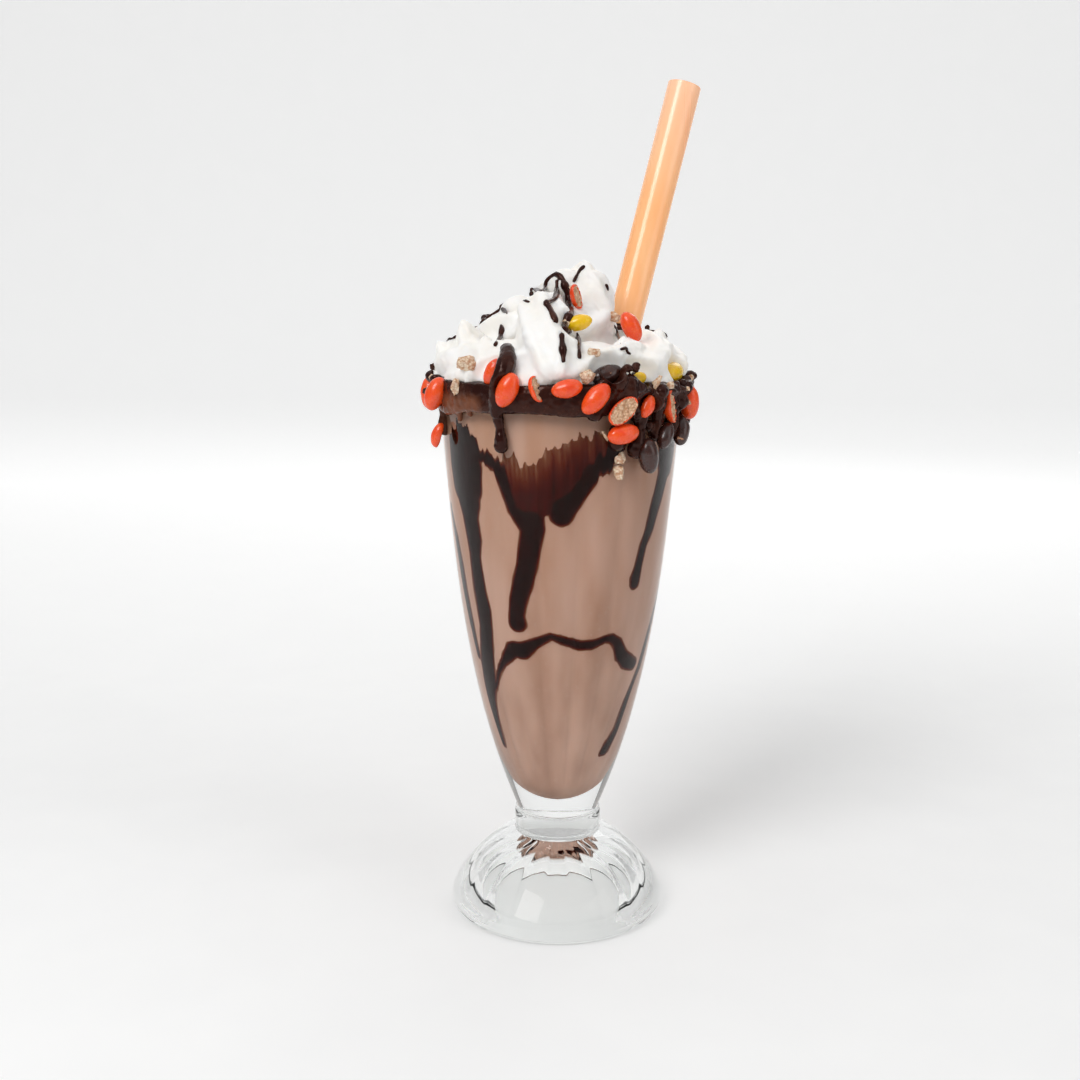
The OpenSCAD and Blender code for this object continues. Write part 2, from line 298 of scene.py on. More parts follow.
def finish_piece(piece, finishes, stands_for=(), sharp=None):
    """Gives a piece its finishes, its shading, its body and the nodes it stands for."""
    pick(piece)
    if sharp is None:
        bpy.ops.object.shade_smooth()
    else:
        bpy.ops.object.shade_smooth_by_angle(angle=math.radians(sharp))
    if len(piece.data.materials) == 0:
        for finish in finishes:
            piece.data.materials.append(finish)
    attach(piece, BODY)
    if stands_for:
        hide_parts(*stands_for)
    clear()
    return piece


# ---- finishes

class Wire:
    """A value that varies over a surface; sums on it add Math nodes."""

    def __init__(self, paint, socket):
        self.paint, self.socket = paint, socket

    def sum(self, operation, first, second=None, **settings):
        inputs = {0: first} if second is None else {0: first, 1: second}
        return self.paint.node("ShaderNodeMath", {"operation": operation, **settings}, inputs)

    def __add__(self, other): return self.sum("ADD", self, other)
    def __radd__(self, other): return self.sum("ADD", other, self)
    def __sub__(self, other): return self.sum("SUBTRACT", self, other)
    def __rsub__(self, other): return self.sum("SUBTRACT", other, self)
    def __mul__(self, other): return self.sum("MULTIPLY", self, other)
    def __rmul__(self, other): return self.sum("MULTIPLY", other, self)
    def __truediv__(self, other): return self.sum("DIVIDE", self, other)
    def __pow__(self, other): return self.sum("POWER", self, other)

    def held(self):
        """The value kept between 0 and 1."""
        return self.sum("ADD", self, 0.0, use_clamp=True)


class Paint:
    """A material made of nodes, from plain calls."""

    def __init__(self, name):
        self.material = bpy.data.materials.new(name)
        self.material.use_nodes = True
        self.tree = self.material.node_tree
        self.tree.nodes.clear()

    def node(self, kind, settings=None, inputs=None, out=0):
        node = self.tree.nodes.new(kind)
        for key, value in (settings or {}).items():
            if key == "stops":
                self.set_stops(node.color_ramp, value)
            else:
                setattr(node, key, value)
        for key, value in (inputs or {}).items():
            if isinstance(value, Wire):
                self.tree.links.new(value.socket, node.inputs[key])
            else:
                node.inputs[key].default_value = value
        return Wire(self, node.outputs[out]) if node.outputs else None

    @staticmethod
    def set_stops(ramp, stops):
        while len(ramp.elements) < len(stops):
            ramp.elements.new(0.5)
        for element, (place, colour) in zip(ramp.elements, stops):
            element.position = place
            element.color = (*colour, 1) if len(colour) == 3 else colour

    def place(self):
        return self.node("ShaderNodeTexCoord", out=3)

    def stretched(self, scale):
        return self.node("ShaderNodeMapping", {}, {0: self.place(), 3: scale})

    def noise(self, size, detail=2.0, rough=0.5, where=None):
        """Cloudy noise whose patches are about size millimetres across."""
        return self.node("ShaderNodeTexNoise", {}, {
            "Vector": where or self.place(), "Scale": 1 / (size * MM),
            "Detail": detail, "Roughness": rough})

    def spread(self, value, low, high, start=0.0, end=1.0):
        """A value moved from low..high to start..end, and kept there."""
        return self.node("ShaderNodeMapRange", {"clamp": True},
                         {0: value, 1: low, 2: high, 3: start, 4: end})

    def mix(self, share, first, second):
        """One colour changing into another."""
        return self.node("ShaderNodeMix", {"data_type": "RGBA"}, {
            0: share, 6: self.colour(first), 7: self.colour(second)}, out=2)

    @staticmethod
    def colour(value):
        return value if isinstance(value, Wire) else (*value[:3], 1)

    def stored(self, name, out=2):
        """A value kept on the mesh."""
        return self.node("ShaderNodeAttribute", {"attribute_name": name}, out=out)

    def bump(self, height, strength, depth):
        return self.node("ShaderNodeBump", {}, {
            "Strength": strength, "Distance": depth * MM, "Height": height})

    def shader(self, **inputs):
        named_inputs = {key.replace("_", " ").title().replace("Ior", "IOR"): value
                        for key, value in inputs.items()}
        for key in ("Base Color", "Emission Color", "Specular Tint"):
            if key in named_inputs:
                named_inputs[key] = self.colour(named_inputs[key])
        return self.node("ShaderNodeBsdfPrincipled", {"subsurface_method": "RANDOM_WALK"}, named_inputs)

    def done(self, shader):
        self.node("ShaderNodeOutputMaterial", {}, {0: shader})
        return self.material


def clear_glass():
    """Clear glass with a faint waviness; lamps shine through it."""
    p = Paint("clear_glass")
    wave = p.bump(p.noise(24, 1.0), 0.05, 0.5)
    body = p.shader(base_color=(0.985, 0.995, 0.99), roughness=p.spread(p.noise(9), 0.4, 0.75, 0.0, 0.02),
                    ior=1.5, transmission_weight=1.0, specular_tint=(0.32, 0.3, 0.29), normal=wave)
    height = p.node("ShaderNodeSeparateXYZ", {}, {0: p.place()}, out=2)
    lamp = p.node("ShaderNodeLightPath", out=1) * p.spread(height, 0.03, 0.06, 0.7, 1.0)
    through = p.node("ShaderNodeBsdfTransparent", {}, {0: (0.97, 0.98, 0.975, 1)})
    return p.done(p.node("ShaderNodeMixShader", {}, {0: lamp, 1: body, 2: through}))


def shake_finish(look):
    """Thick milky chocolate, a little streaked and with fine froth."""
    p = Paint("milkshake")
    tall = p.stretched((1, 1, 0.16))
    streaks = p.noise(13, 2.0, 0.55, tall)
    height = p.node("ShaderNodeSeparateXYZ", {}, {0: p.place()}, out=2)
    low = p.spread(height, 0.185, 0.06)
    base = p.mix(low * 0.85, look.shake_top, look.shake_low)
    shade = p.mix(p.spread(streaks, 0.36, 0.66), base, look.shake_light)
    froth = p.noise(1.1, 1.0)
    colour = p.mix(p.spread(froth, 0.62, 0.8, 0, 0.35), shade, look.shake_froth)
    return p.done(p.shader(base_color=colour, roughness=p.spread(froth, 0.3, 0.7, 0.42, 0.6),
                           subsurface_weight=0.12, subsurface_scale=2 * MM,
                           subsurface_radius=(1.0, 0.6, 0.4), specular_ior_level=0.35,
                           normal=p.bump(froth, 0.08, 0.3)))


def syrup_finish(look):
    """Chocolate syrup that runs from near black where thick to red-brown where thin."""
    p = Paint("syrup")
    thick = (p.stored("thickness") + (p.noise(3.2, 2.0, 0.6, p.stretched((1, 1, 0.3))) - 0.5) * 0.35).held()
    colour = p.node("ShaderNodeValToRGB", {"stops": [
        (0.0, tint(150, 108, 84)), (0.12, tint(116, 64, 42)), (0.3, tint(92, 32, 16)),
        (0.52, tint(70, 10, 5)), (0.75, tint(42, 5, 3)), (1.0, tint(22, 3, 2))]}, {0: thick})
    return p.done(p.shader(base_color=colour, roughness=p.spread(p.noise(5), 0.3, 0.7, 0.25, 0.4),
                           specular_ior_level=0.0))


def cream_finish(look):
    """Soft whipped cream, satin, with tiny air bubbles."""
    p = Paint("whipped_cream")
    bubbles = p.noise(0.9, 2.0)
    clouds = p.noise(11, 2.0)
    colour = p.mix(p.spread(clouds, 0.35, 0.7), look.cream, look.cream_shade)
    return p.done(p.shader(base_color=colour, roughness=p.spread(bubbles, 0.3, 0.7, 0.4, 0.58),
                           subsurface_weight=0.3, subsurface_scale=3 * MM,
                           subsurface_radius=(1.0, 0.9, 0.8), specular_ior_level=0.4,
                           normal=p.bump(bubbles, 0.18, 0.2)))


def chocolate_finish(look, name="rim_chocolate", shine=0.16, thin=False):
    """Set chocolate sauce, glossy and nearly black, browner in patches."""
    p = Paint(name)
    patches = p.noise(6, 3.0, 0.6)
    fine = p.noise(1.4, 2.0)
    colour = p.mix(p.spread(patches, 0.45, 0.75), look.chocolate, look.chocolate_light)
    if thin:
        bare = (p.stored("thin") * p.spread(patches, 0.25, 0.55, 0.45, 1)).held()
        colour = p.mix(bare, colour, look.chocolate_thin)
    return p.done(p.shader(base_color=colour, roughness=p.spread(patches, 0.35, 0.7, shine, shine + 0.16),
                           coat_weight=0.08, coat_roughness=0.05, specular_ior_level=0.3,
                           specular_tint=(0.8, 0.5, 0.42),
                           normal=p.bump(fine, 0.1, 0.3)))


def shell_finish(name, shell, worn, edge):
    """A sugar shell: even colour, faintly mottled, chipped to a paler layer here and there."""
    p = Paint(name)
    mottle = p.noise(2.6, 3.0, 0.6)
    deep = p.mix(p.spread(mottle, 0.35, 0.72), shell, edge)
    chips = p.spread(p.noise(3.4, 4.0, 0.65), 0.66, 0.7)
    colour = p.mix(chips, deep, worn)
    return p.done(p.shader(base_color=colour, roughness=p.spread(mottle, 0.3, 0.7, 0.2, 0.36),
                           coat_weight=0.25, coat_roughness=0.12, subsurface_weight=0.05,
                           subsurface_scale=1 * MM,
                           normal=p.bump(p.noise(0.8, 2.0), 0.1, 0.15)))


def nut_finish(name, pale, brown):
    """The crumbly middle of a sweet: pale grains in a darker paste."""
    p = Paint(name)
    grains = p.node("ShaderNodeTexVoronoi", {}, {"Vector": p.place(), "Scale": 1 / (0.8 * MM)})
    cloud = p.noise(1.5, 3.0, 0.6)
    colour = p.mix((p.spread(grains, 0.25, 0.7) * 0.6 + p.spread(cloud, 0.4, 0.65) * 0.5).held(), pale, brown)
    return p.done(p.shader(base_color=colour, roughness=p.spread(cloud, 0.3, 0.7, 0.5, 0.75),
                           subsurface_weight=0.08, subsurface_scale=1 * MM,
                           normal=p.bump(grains, 0.6, 0.3)))


def straw_finish(look):
    """Thin peach plastic that lets some light through."""
    p = Paint("straw_plastic")
    along = p.noise(7, 2.0, 0.5, p.stretched((1, 1, 0.06)))
    height = p.node("ShaderNodeSeparateXYZ", {}, {0: p.place()}, out=2)
    colour = p.mix(p.spread(along, 0.35, 0.7), look.straw, look.straw_deep)
    colour = p.mix(p.spread(height, 0.255, 0.3, 0.0, 0.6), colour, look.straw_pale)
    # The emission is painted light: a faint orange glow of the straw's own, standing in for light shining
    # through the plastic.
    body = p.shader(base_color=colour, roughness=p.spread(along, 0.3, 0.7, 0.18, 0.3),
                    ior=1.45, transmission_weight=0.2, coat_weight=0.3, coat_roughness=0.05,
                    emission_color=(1.0, 0.5, 0.25), emission_strength=0.12)
    return p.done(body)


# ---- the glass and what fills it

LATHE_STEPS = FLUTES * 12


def foot_outline():
    """From under the foot, round its edge and over its dome and ring to the neck."""
    turn = np.radians
    hollow = [(HOLLOW_R * math.cos(turn(90 * s)) ** 0.7, HOLLOW_H * math.sin(turn(90 * s)))
              for s in np.linspace(0.995, 0, 24)]
    edge = [(FOOT_R - BEAD + BEAD * math.cos(turn(a)), BEAD + BEAD * math.sin(turn(a)))
            for a in range(-90, 1, 9)]
    dome = [(COLLAR_R + (FOOT_R - COLLAR_R) * math.cos(turn(a)) ** DOME_POWER,
             FOOT_EDGE + (DOME_TOP - FOOT_EDGE) * math.sin(turn(a)) ** DOME_POWER)
            for a in np.linspace(0, 89.9, 30)]
    ring = [(COLLAR_R - COLLAR_GROOVE + COLLAR_GROOVE * math.cos(turn(a)),
             COLLAR_Z + COLLAR_H / 2 * math.sin(turn(a))) for a in range(-90, 91, 12)]
    return [(0.0, HOLLOW_H)] + hollow + edge + dome + ring


def glass_outline():
    """The whole closed outline, from the hollow under the foot to the floor of the bowl."""
    body = [(float(outer_r(z)), z) for z in np.linspace(NECK_Z, GLASS_H - LIP, 56)]
    top = [(float(outer_r(GLASS_H - LIP)) - LIP + LIP * math.cos(a), GLASS_H - LIP + LIP * math.sin(a))
           for a in np.radians(range(15, 91, 15))]
    inner_top = float(bowl_r(GLASS_H - LIP))
    lip = [(inner_top + LIP * 0.9 * (1 - math.cos(a)), GLASS_H - LIP + LIP * math.sin(a))
           for a in np.radians((75, 50, 25))]
    share = np.linspace(1, 0, 70) ** 1.4
    bowl = [(float(bowl_r(z)), z) for z in BOWL_FLOOR + (GLASS_H - LIP - BOWL_FLOOR) * share]
    return foot_outline() + body + top + lip + bowl


def build_glass(look):
    piece = turned("clear_glass", glass_outline(), LATHE_STEPS)
    p = points(piece)
    r, z, a = np.hypot(p[:, 0], p[:, 1]), p[:, 2], np.arctan2(p[:, 1], p[:, 0])
    inside = (z > BOWL_FLOOR + 0.01) & (np.abs(r - bowl_r(z)) < 0.05)
    more = np.where(inside, flute(a, z), 0)
    lift = np.degrees(np.arcsin(np.clip(z / HOLLOW_H, 0, 1)))
    under = (z < HOLLOW_H) & (np.abs(r - HOLLOW_R * np.cos(np.radians(lift)) ** 0.7) < 0.05)
    more += np.where(under & (r < HOLLOW_R - 0.01), FLUTE_DEPTH * np.abs(np.cos(a * FLUTES / 2))
                     * np.sin(np.radians(2 * lift)), 0)
    scale = np.where(r > 0.01, (r + more) / np.maximum(r, 0.01), 1)
    p[:, 0] *= scale
    p[:, 1] *= scale
    set_points(piece, p)
    finish_piece(piece, [clear_glass()], ["glass"], sharp=40)


def build_drink(look):
    """The drink reaches just into the wall, so that no air shows between them."""
    grip = 0.15
    share = np.linspace(0.0, 1, 90) ** 1.3
    wall = [(float(bowl_r(z)) + grip, z) for z in BOWL_FLOOR + (DRINK_Z + 3.6 - BOWL_FLOOR) * share[1:]]
    top = [(r, DRINK_Z + 0.6 + 0.5 * math.cos(r / 5)) for r in (38.2, 34, 28, 20, 12, 6, 0)]
    piece = turned("chocolate_drink", [(0.0, BOWL_FLOOR - grip)] + wall + top, LATHE_STEPS)
    p = points(piece)
    r, z, a = np.hypot(p[:, 0], p[:, 1]), p[:, 2], np.arctan2(p[:, 1], p[:, 0])
    more = np.where(np.abs(r - bowl_r(z) - grip) < 0.05, flute(a, z), 0)
    scale = np.where(r > 0.01, (r + more) / np.maximum(r, 0.01), 1)
    p[:, 0] *= scale
    p[:, 1] *= scale
    set_points(piece, p)
    finish_piece(piece, [shake_finish(look)], ["milkshake"], sharp=50)


# Runs of syrup down the inside of the bowl: angle from the front, height, half width.
SYRUP_RUNS = [
    [(-56, 177, 8.6), (-55, 168, 9.3), (-55, 162, 8.5), (-54, 156, 6.2), (-54, 150, 4.5), (-53, 143, 4.3),
     (-54, 137, 3.3), (-54, 124, 3.6), (-53, 118, 3.9), (-54, 111, 3.5), (-57, 104, 3.5), (-61, 97, 3.6),
     (-64, 90, 3.3), (-68, 84, 2.8), (-70, 76, 2.2), (-72, 66, 1.6)],
    [(-80, 152, 1.2), (-75, 141, 2.4), (-73, 132, 2.6), (-73, 122, 2.4), (-72, 112, 2.2), (-71, 99, 1.5)],
    [(-42, 174, 2.7), (-35, 171, 2.8), (-30, 167, 2.9), (-27, 161, 2.5), (-24, 155, 2.3), (-17, 151, 4)],
    [(-15, 151, 4.9), (-14, 149, 4.3), (-16, 143, 3.9), (-18, 136, 3.7), (-21, 130, 3.7), (-25, 123, 3.4),
     (-27, 118, 3.1), (-27, 115, 3.5)],
    [(28, 175, 3.6), (17, 169, 3.6), (13, 165, 3.3), (8, 160, 3.4), (2, 156, 4.6), (1, 154, 4.2)],
    [(66, 178, 7.5), (66, 169, 6.2), (63, 164, 3.8), (61, 159, 3.4), (58, 153, 3.0), (56, 147, 2.7),
     (52, 141, 2.3), (50, 134, 2.3), (49, 130, 2.8), (49, 128, 2.6)],
    [(-62, 87, 1.4), (-54, 91, 1.3), (-49, 95, 1.3), (-41, 100, 1.7), (-32, 105, 3.2), (-25, 105, 3.4),
     (-16, 108, 2.2), (-5, 111, 1.5), (6, 109, 1.9), (14, 107.5, 2.1), (22, 107.5, 2.1), (32, 109, 1.6),
     (37, 109, 1.9), (42, 107, 2.2), (48, 102, 2.8), (56, 99, 3.2), (64, 97, 2.6)],
    [(90, 128, 0.9), (86, 118, 1.2), (82, 108, 1.4), (78, 94, 1.8), (71, 85, 2), (68, 72, 2), (60, 64, 2)],
    [(104, 179, 6.5), (103, 168, 5), (104, 158, 3.4), (101, 146, 2.8), (98, 137, 3)],
    [(131, 179, 5), (134, 166, 4), (132, 150, 3), (128, 134, 2.6), (127, 120, 2.8), (126, 116, 3.2)],
    [(158, 180, 8), (160, 170, 6.5), (162, 160, 4), (167, 146, 3.2), (168, 128, 2.8), (171, 110, 2.8),
     (172, 96, 2.4), (174, 84, 2)],
    [(-166, 179, 4), (-164, 170, 3.4), (-160, 158, 2.6), (-157, 150, 3)],
    [(-138, 180, 7), (-138, 168, 6), (-135, 156, 3.6), (-131, 142, 3), (-130, 126, 2.8), (-131, 119, 3.3)],
    [(-108, 179, 5.5), (-106, 168, 4.2), (-107, 154, 3), (-110, 138, 2.6), (-112, 120, 2.4),
     (-111, 104, 2.6)],
    [(100, 103, 2.2), (112, 106, 1.6), (124, 110, 2), (137, 106, 2.6), (150, 108, 1.8), (162, 104, 2.2)],
]
# The thin reddish sheet of syrup that hangs between two of the runs.
SYRUP_SHEET = [(-31, 168), (-27, 174), (-22, 173), (-19, 169), (-16, 170), (-11, 173), (-6, 175), (-1, 176),
               (4, 179), (9, 179), (14, 182), (20, 184), (27, 183), (30, 176), (22, 171), (16, 165), (9, 158),
               (2, 151), (-6, 154), (-12, 150), (-20, 150), (-25, 156)]


def line_distance(x, z, ax, az, bx, bz):
    """Distance from points to a line between two places, and the share along it."""
    ex, ez = bx - ax, bz - az
    along = np.clip(((x - ax) * ex + (z - az) * ez) / (ex * ex + ez * ez), 0, 1)
    return np.hypot(x - ax - along * ex, z - az - along * ez), along


def syrup_field(angle, z):
    """Signed depth inside the nearest run, and thickness from 0 to 1, at points of the wall."""
    r = np.maximum(bowl_r(z), 10)
    depth, thick = np.full(z.shape, -50.0), np.zeros(z.shape)

    def arc(degrees):
        return (np.mod(degrees - angle + 180, 360) - 180) * np.pi / 180 * r

    for run in SYRUP_RUNS:
        for (a0, z0, w0), (a1, z1, w1) in zip(run, run[1:]):
            x0 = arc(a0)
            away, along = line_distance(0.0, z, x0, z0, x0 + (a1 - a0) * np.pi / 180 * r, z1)
            inside = w0 + (w1 - w0) * along - away
            depth = np.maximum(depth, inside)
            thick = np.maximum(thick, smooth((inside + 0.1) / 1.5) * 0.95)
    within = np.zeros(z.shape, bool)
    edge = np.full(z.shape, 1e3)
    top = np.full(z.shape, 1e3)
    for k, ((a0, z0), (a1, z1)) in enumerate(zip(SYRUP_SHEET, SYRUP_SHEET[1:] + SYRUP_SHEET[:1])):
        x0 = arc(a0)
        x1 = x0 + (a1 - a0) * np.pi / 180 * r
        crosses = (z0 > z) != (z1 > z)
        if z0 != z1:
            within ^= crosses & (0 < x0 + (z - z0) * (x1 - x0) / (z1 - z0))
        away = line_distance(0.0, z, x0, z0, x1, z1)[0]
        edge = np.minimum(edge, away)
        if k < 13:
            top = np.minimum(top, away)
    within &= np.abs(angle) < 60
    depth = np.maximum(depth, np.where(within, edge, -edge))
    streaks = 0.5 + 0.5 * np.sin(angle * 1.9 + 2 * np.sin(z / 7)) * np.sin(angle * 0.77 + 1)
    sheet = 0.12 + 0.5 * smooth(top / 11) + 0.2 * (streaks - 0.5)
    return depth, np.maximum(thick, np.where(within, sheet, 0))


def build_syrup(look):
    """A film of syrup with smooth edges, in the wall's curve, a little into the glass."""
    turns, step = 640, 0.5
    angle, z = np.meshgrid(np.arange(turns) * 360 / turns - 180, np.arange(60, 184.5, step), indexing="ij")
    ragged = np.array([[noise.noise(Vector((a / 2.6, h / 14, 3)))
                        + 0.25 * noise.noise(Vector((a / 1.1, h / 9, 8)))
                        for h in z[0]] for a in angle[:, 0]])
    top_only = smooth((z - 162) / 10)
    depth, thick = syrup_field(angle, z + ragged * 4.5 * top_only)
    depth = depth + 0.35 * ragged - 9 * smooth((z - 176) / 8) * (0.5 + ragged * 0.8)
    wrap = lambda v, k: np.roll(v, -k, 0)
    wet = depth > 0
    cells = (wet | wrap(wet, 1))[:, :-1] | (wet | wrap(wet, 1))[:, 1:]
    for _ in range(6):                       # no two cells touch by a corner alone
        a, b = cells[:, :-1], cells[:, 1:]
        c, d = wrap(cells, 1)[:, :-1], wrap(cells, 1)[:, 1:]
        fill = (a & d & ~b & ~c) | (b & c & ~a & ~d)
        cells[:, :-1] |= fill
    r = bowl_r(z)
    unit = r * 2 * np.pi / turns
    slope_a = (wrap(depth, 1) - wrap(depth, -1)) / (2 * unit)
    slope_z = np.gradient(depth, step, axis=1)
    steep = np.maximum(slope_a ** 2 + slope_z ** 2, 0.3)
    pull = np.where(wet, 0, np.clip(-depth, 0, 0.9))
    a_new = np.radians(angle - 90) + pull * slope_a / steep / r
    z_new = z + pull * slope_z / steep
    reach = bowl_r(z_new) + flute(a_new, z_new)
    number = -np.ones(z.shape, int)
    i, j = np.nonzero(cells)
    i2 = (i + 1) % turns
    used = np.unique(np.concatenate([i * z.shape[1] + j, i2 * z.shape[1] + j,
                                     i2 * z.shape[1] + j + 1, i * z.shape[1] + j + 1]))
    number.ravel()[used] = np.arange(len(used))
    a_used, z_used, r_used = a_new.ravel()[used], z_new.ravel()[used], reach.ravel()[used]

    def skin(more):
        return np.stack([(r_used + more) * np.cos(a_used), (r_used + more) * np.sin(a_used), z_used], 1)

    quads = np.stack([number[i, j], number[i2, j], number[i2, j + 1], number[i, j + 1]], 1)
    count = len(used)
    faces = [tuple(q) for q in quads.tolist()]
    faces += [tuple(reversed([v + count for v in q])) for q in quads.tolist()]
    ways = {}
    for q in quads.tolist():
        for u, v in zip(q, q[1:] + q[:1]):
            ways[(u, v)] = True
    faces += [(v, u, u + count, v + count) for u, v in ways if (v, u) not in ways]
    film = bpy.data.meshes.new("syrup_runs")
    film.from_pydata((np.concatenate([skin(0.32), skin(-0.5)]) * MM).tolist(), [], faces)
    kept = film.attributes.new("thickness", "FLOAT", "POINT")
    value = np.where(wet, np.clip(thick, 0, 1), 0.05).ravel()[used]
    kept.data.foreach_set("value", np.concatenate([value, value]).astype(np.float32))
    piece = bpy.data.objects.new("syrup_runs", film)
    bpy.context.collection.objects.link(piece)
    finish_piece(piece, [syrup_finish(look)], sharp=60)


# ---- cream

CREAM_R = RIM_R + 1.5
CREAM_ROPE = 10.5
CREAM_TURNS = 3.4
CREAM_PEAK = 232.0
# Blobs with a drawn-up tip: angle, share of the cream's radius of the blob and of its
# tip, radius, height of the tip above the rim
DOLLOPS = [
    (-84, .82, .97, 8, 14), (-62, .7, .86, 9, 22), (-45, .8, .8, 8.5, 17), (-22, .78, .8, 9.5, 13),
    (0, .8, .82, 9.5, 11), (22, .78, .76, 9, 12), (40, .76, .72, 9, 17), (68, .82, .9, 8, 12),
    (100, .76, .8, 9, 18), (135, .78, .7, 9, 20), (172, .8, .84, 8.5, 17), (-150, .76, .7, 9, 21),
    (-115, .8, .9, 8.5, 16)]


def piped(name, path, radii, lobes=7, groove=0.16, twist=0.0):
    """Cream from a star nozzle: a closed rope with grooves along it, turning as it goes."""
    sides = lobes * 8
    spin = np.arange(sides) * 2 * np.pi / sides
    path = np.array(path, float)
    ahead = np.gradient(path, axis=0)
    ahead /= np.linalg.norm(ahead, axis=1)[:, None]
    across = np.array((1.0, 0.0, 0.0)) if abs(ahead[0][0]) < 0.8 else np.array((0.0, 1.0, 0.0))
    rings, turned_by, length = [], 0.0, 0.0
    for k, (place, way, radius) in enumerate(zip(path, ahead, radii)):
        across = across - way * np.dot(across, way)
        across /= np.linalg.norm(across)
        up = np.cross(way, across)
        if k:
            length += np.linalg.norm(place - path[k - 1])
        turned_by = math.radians(twist) * length
        star = radius * (1 + groove * np.cos(lobes * (spin + turned_by)))
        rings.append(place + np.outer(star * np.cos(spin), across) + np.outer(star * np.sin(spin), up))
    corners = np.concatenate([[path[0]], *rings, [path[-1]]])
    last = len(corners) - 1
    faces = [(0, 1 + (j + 1) % sides, 1 + j) for j in range(sides)]
    for i in range(len(rings) - 1):
        a = 1 + i * sides
        faces += [(a + j, a + (j + 1) % sides, a + sides + (j + 1) % sides, a + sides + j)
                  for j in range(sides)]
    faces += [(last, last - sides + j, last - sides + (j + 1) % sides) for j in range(sides)]
    mesh = bpy.data.meshes.new(name)
    mesh.from_pydata((corners * MM).tolist(), [], faces)
    piece = bpy.data.objects.new(name, mesh)
    bpy.context.collection.objects.link(piece)
    return piece


def cream_rope():
    """The rope goes round level once, then climbs and narrows to the peak."""
    path, radii = [], []
    for s in np.linspace(0, 1, 240):
        u = max(0.0, (s * CREAM_TURNS - 1) / (CREAM_TURNS - 1))
        a = math.radians(360 * CREAM_TURNS * s - 60)
        r = 33.0 * (1 - u) ** 1.6 + 1.0 * u
        lean = 6 * u - 4 * math.sin(math.pi * u)
        path.append((r * math.cos(a) + lean, r * math.sin(a), 198.6 + (CREAM_PEAK - 198.6) * u ** 0.94))
        radii.append(CREAM_ROPE + (3.0 - CREAM_ROPE) * u ** 1.15)
    radii[0], radii[1] = 6, 8.5
    path += [(7.4, -0.5, 234.0), (8.0, -1.0, 235.6)]
    radii += [1.9, 0.8]
    return piped("rope", path, radii, lobes=6, groove=0.13, twist=2.6)


def dollop(angle, share, tip_share, radius, tip):
    """A blob whose top is drawn up to a leaning tip."""
    a = math.radians(angle - 90)
    ways = []
    for k in np.linspace(0, 1, 22):
        r = CREAM_R * (share + (tip_share - share) * k ** 1.6)
        ways.append((r * math.cos(a), r * math.sin(a), GLASS_H - 1 + (tip + 1.6) * k))
    widths = [radius * (0.55 + 0.45 * math.sin(min(1, k / 0.3) * math.pi / 2)) * (1 - k ** 1.7) ** 0.9 + 0.35
              for k in np.linspace(0, 1, 22)]
    return piped("dollop", ways, widths, lobes=6, groove=0.15, twist=3.5)


def build_cream(look):
    lumps = [cream_rope()] + [dollop(*d) for d in DOLLOPS]
    heart = [(0, 0, 190), (1, 0, 205), (3, 0, 216), (5, 0, 226)]
    lumps.append(piped("heart", eased(heart, 2), np.linspace(36, 7, len(eased(heart, 2))), groove=0.0))
    base = [(0, 0, z) for z in (189.0, 190, 193, 197, 199)]
    lumps.append(piped("base", base, (38, 39.5, 40, 40, 36), groove=0.0))
    fold = eased([(-6, -12, 221), (-5.5, -22, 216.5), (-4, -32, 209), (-1.6, -38.5, 202),
                  (-0.8, -42, 196.6)], 1.5)
    width = np.interp(np.linspace(0, 1, len(fold)), (0, .25, .6, .85, .95, 1), (5, 9, 9.8, 8.2, 6.8, 3.6))
    lumps.append(piped("fold", fold, width, lobes=7, groove=0.09, twist=0.6))
    crown = eased([(7.5, -2, 208), (9, -3, 218), (9.2, -3, 227), (8.8, -2.4, 232), (8.4, -2, 235.4)], 1.2)
    width = np.interp(np.linspace(0, 1, len(crown)), (0, .35, .68, .86, 1), (10, 9.6, 7.6, 4.4, 0.7))
    lumps.append(piped("crown", crown, width, lobes=6, groove=0.13, twist=3.2))
    lumps.append(blob("shoulder", (1.6, -4, 226.0), (6.6, 6.5, 7.0)))
    lumps.append(blob("back_swirl", (-14, -5, 217.4), (7.5, 6.5, 6.4)))
    piece = remeshed(join("piped_cream", lumps), 0.65, soften=3)
    p = points(piece)
    p += normals(piece) * (look.cream_ripple / MM * rough(p, 6.5, 1) + 0.2 * rough(p, 2.2, 2))[:, None]
    r, z = np.hypot(p[:, 0], p[:, 1]), p[:, 2]
    inside = bowl_r(np.minimum(z, GLASS_H)) + 0.12
    limit = np.where(z < GLASS_H + 0.2, inside, CREAM_R + 3.5)
    shrink = np.minimum(1, limit / np.maximum(r, 1))
    p[:, 0] *= shrink
    p[:, 1] *= shrink
    p[:, 2] = np.maximum(z, DRINK_Z - 0.6)
    for node in sorted(frame["nodes"]):
        centre = (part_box(node)[0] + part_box(node)[1]) / 2 / MM
        if "_cream_" in node or ("_rim_" in node and centre.z > GLASS_H + 2):
            press(p, centre)
    set_points(piece, p)
    finish_piece(piece, [cream_finish(look)], ["whipped_cream"])


def press(p, centre, wide=4.6, rim=3.4):
    """Presses the cream in round a sweet, so that half of the sweet stands out of it."""
    out = np.array((centre.x, centre.y, 0.35 * math.hypot(centre.x, centre.y)))
    out /= np.linalg.norm(out)
    off = p - np.array(centre)
    ahead = off @ out
    aside = np.linalg.norm(off - np.outer(ahead, out), axis=1)
    over = np.clip(ahead + 0.6, 0, None) * smooth((wide + rim - aside) / rim)
    p -= np.outer(np.where(ahead < 16, over, 0), out)


# ---- chocolate on the rim

